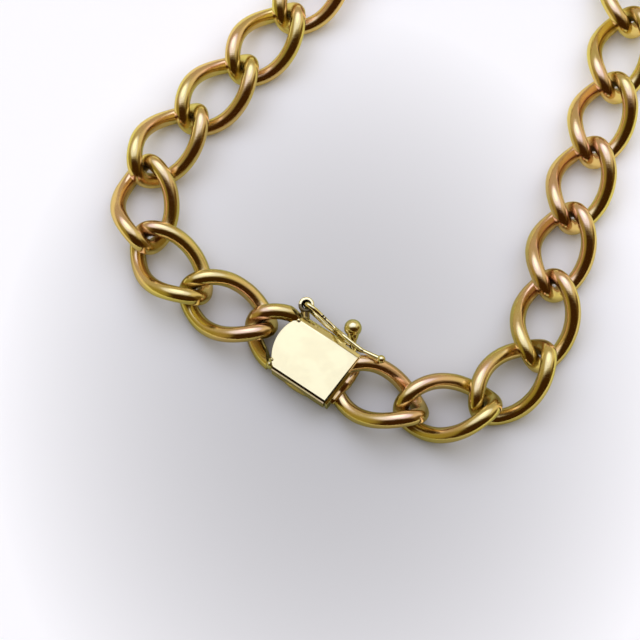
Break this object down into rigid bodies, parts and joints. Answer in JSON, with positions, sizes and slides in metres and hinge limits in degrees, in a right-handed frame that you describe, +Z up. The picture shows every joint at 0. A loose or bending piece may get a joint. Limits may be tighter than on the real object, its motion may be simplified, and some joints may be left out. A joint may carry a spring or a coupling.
{
  "type": "curb chain bracelet",
  "caption": "Closed curb chain bracelet of twisted oval links in polished yellow gold, with a box clasp, its tongue and a figure-eight safety latch, lying flat.",
  "frame": {"origin": "middle of the loop's own box, on the surface that the bracelet lies on", "axes": "+Z up from the surface, +Y across the loop from the clasp to the far side, +X to the right when the clasp is nearest"},
  "size_m": [0.0638, 0.0708, 0.0053],
  "materials": {
    "link_gold": "polished yellow gold with fine wear",
    "clasp_gold": "paler polished yellow gold with fine scratches"
  },
  "bodies": {
    "bracelet": {"clasp_box": "clasp_gold", "clasp_tongue": "clasp_gold", "link_01": "link_gold", "link_02": "link_gold", "link_03": "link_gold", "link_04": "link_gold", "link_05": "link_gold", "link_06": "link_gold", "link_07": "link_gold", "link_08": "link_gold", "link_09": "link_gold", "link_10": "link_gold", "link_11": "link_gold", "link_12": "link_gold", "link_13": "link_gold", "link_14": "link_gold", "link_15": "link_gold", "link_16": "link_gold", "link_17": "link_gold", "link_18": "link_gold", "link_19": "link_gold", "link_20": "link_gold"},
    "safety_latch": {"safety_latch": "clasp_gold"}
  },
  "joints": [
    {"name": "latch_hinge", "type": "hinge", "parent": "bracelet", "child": "safety_latch", "pos_m": [-0.00974, -0.0198, 0.00282], "axis": [0, 0, 1], "range_deg": [0, 120]}
  ]
}
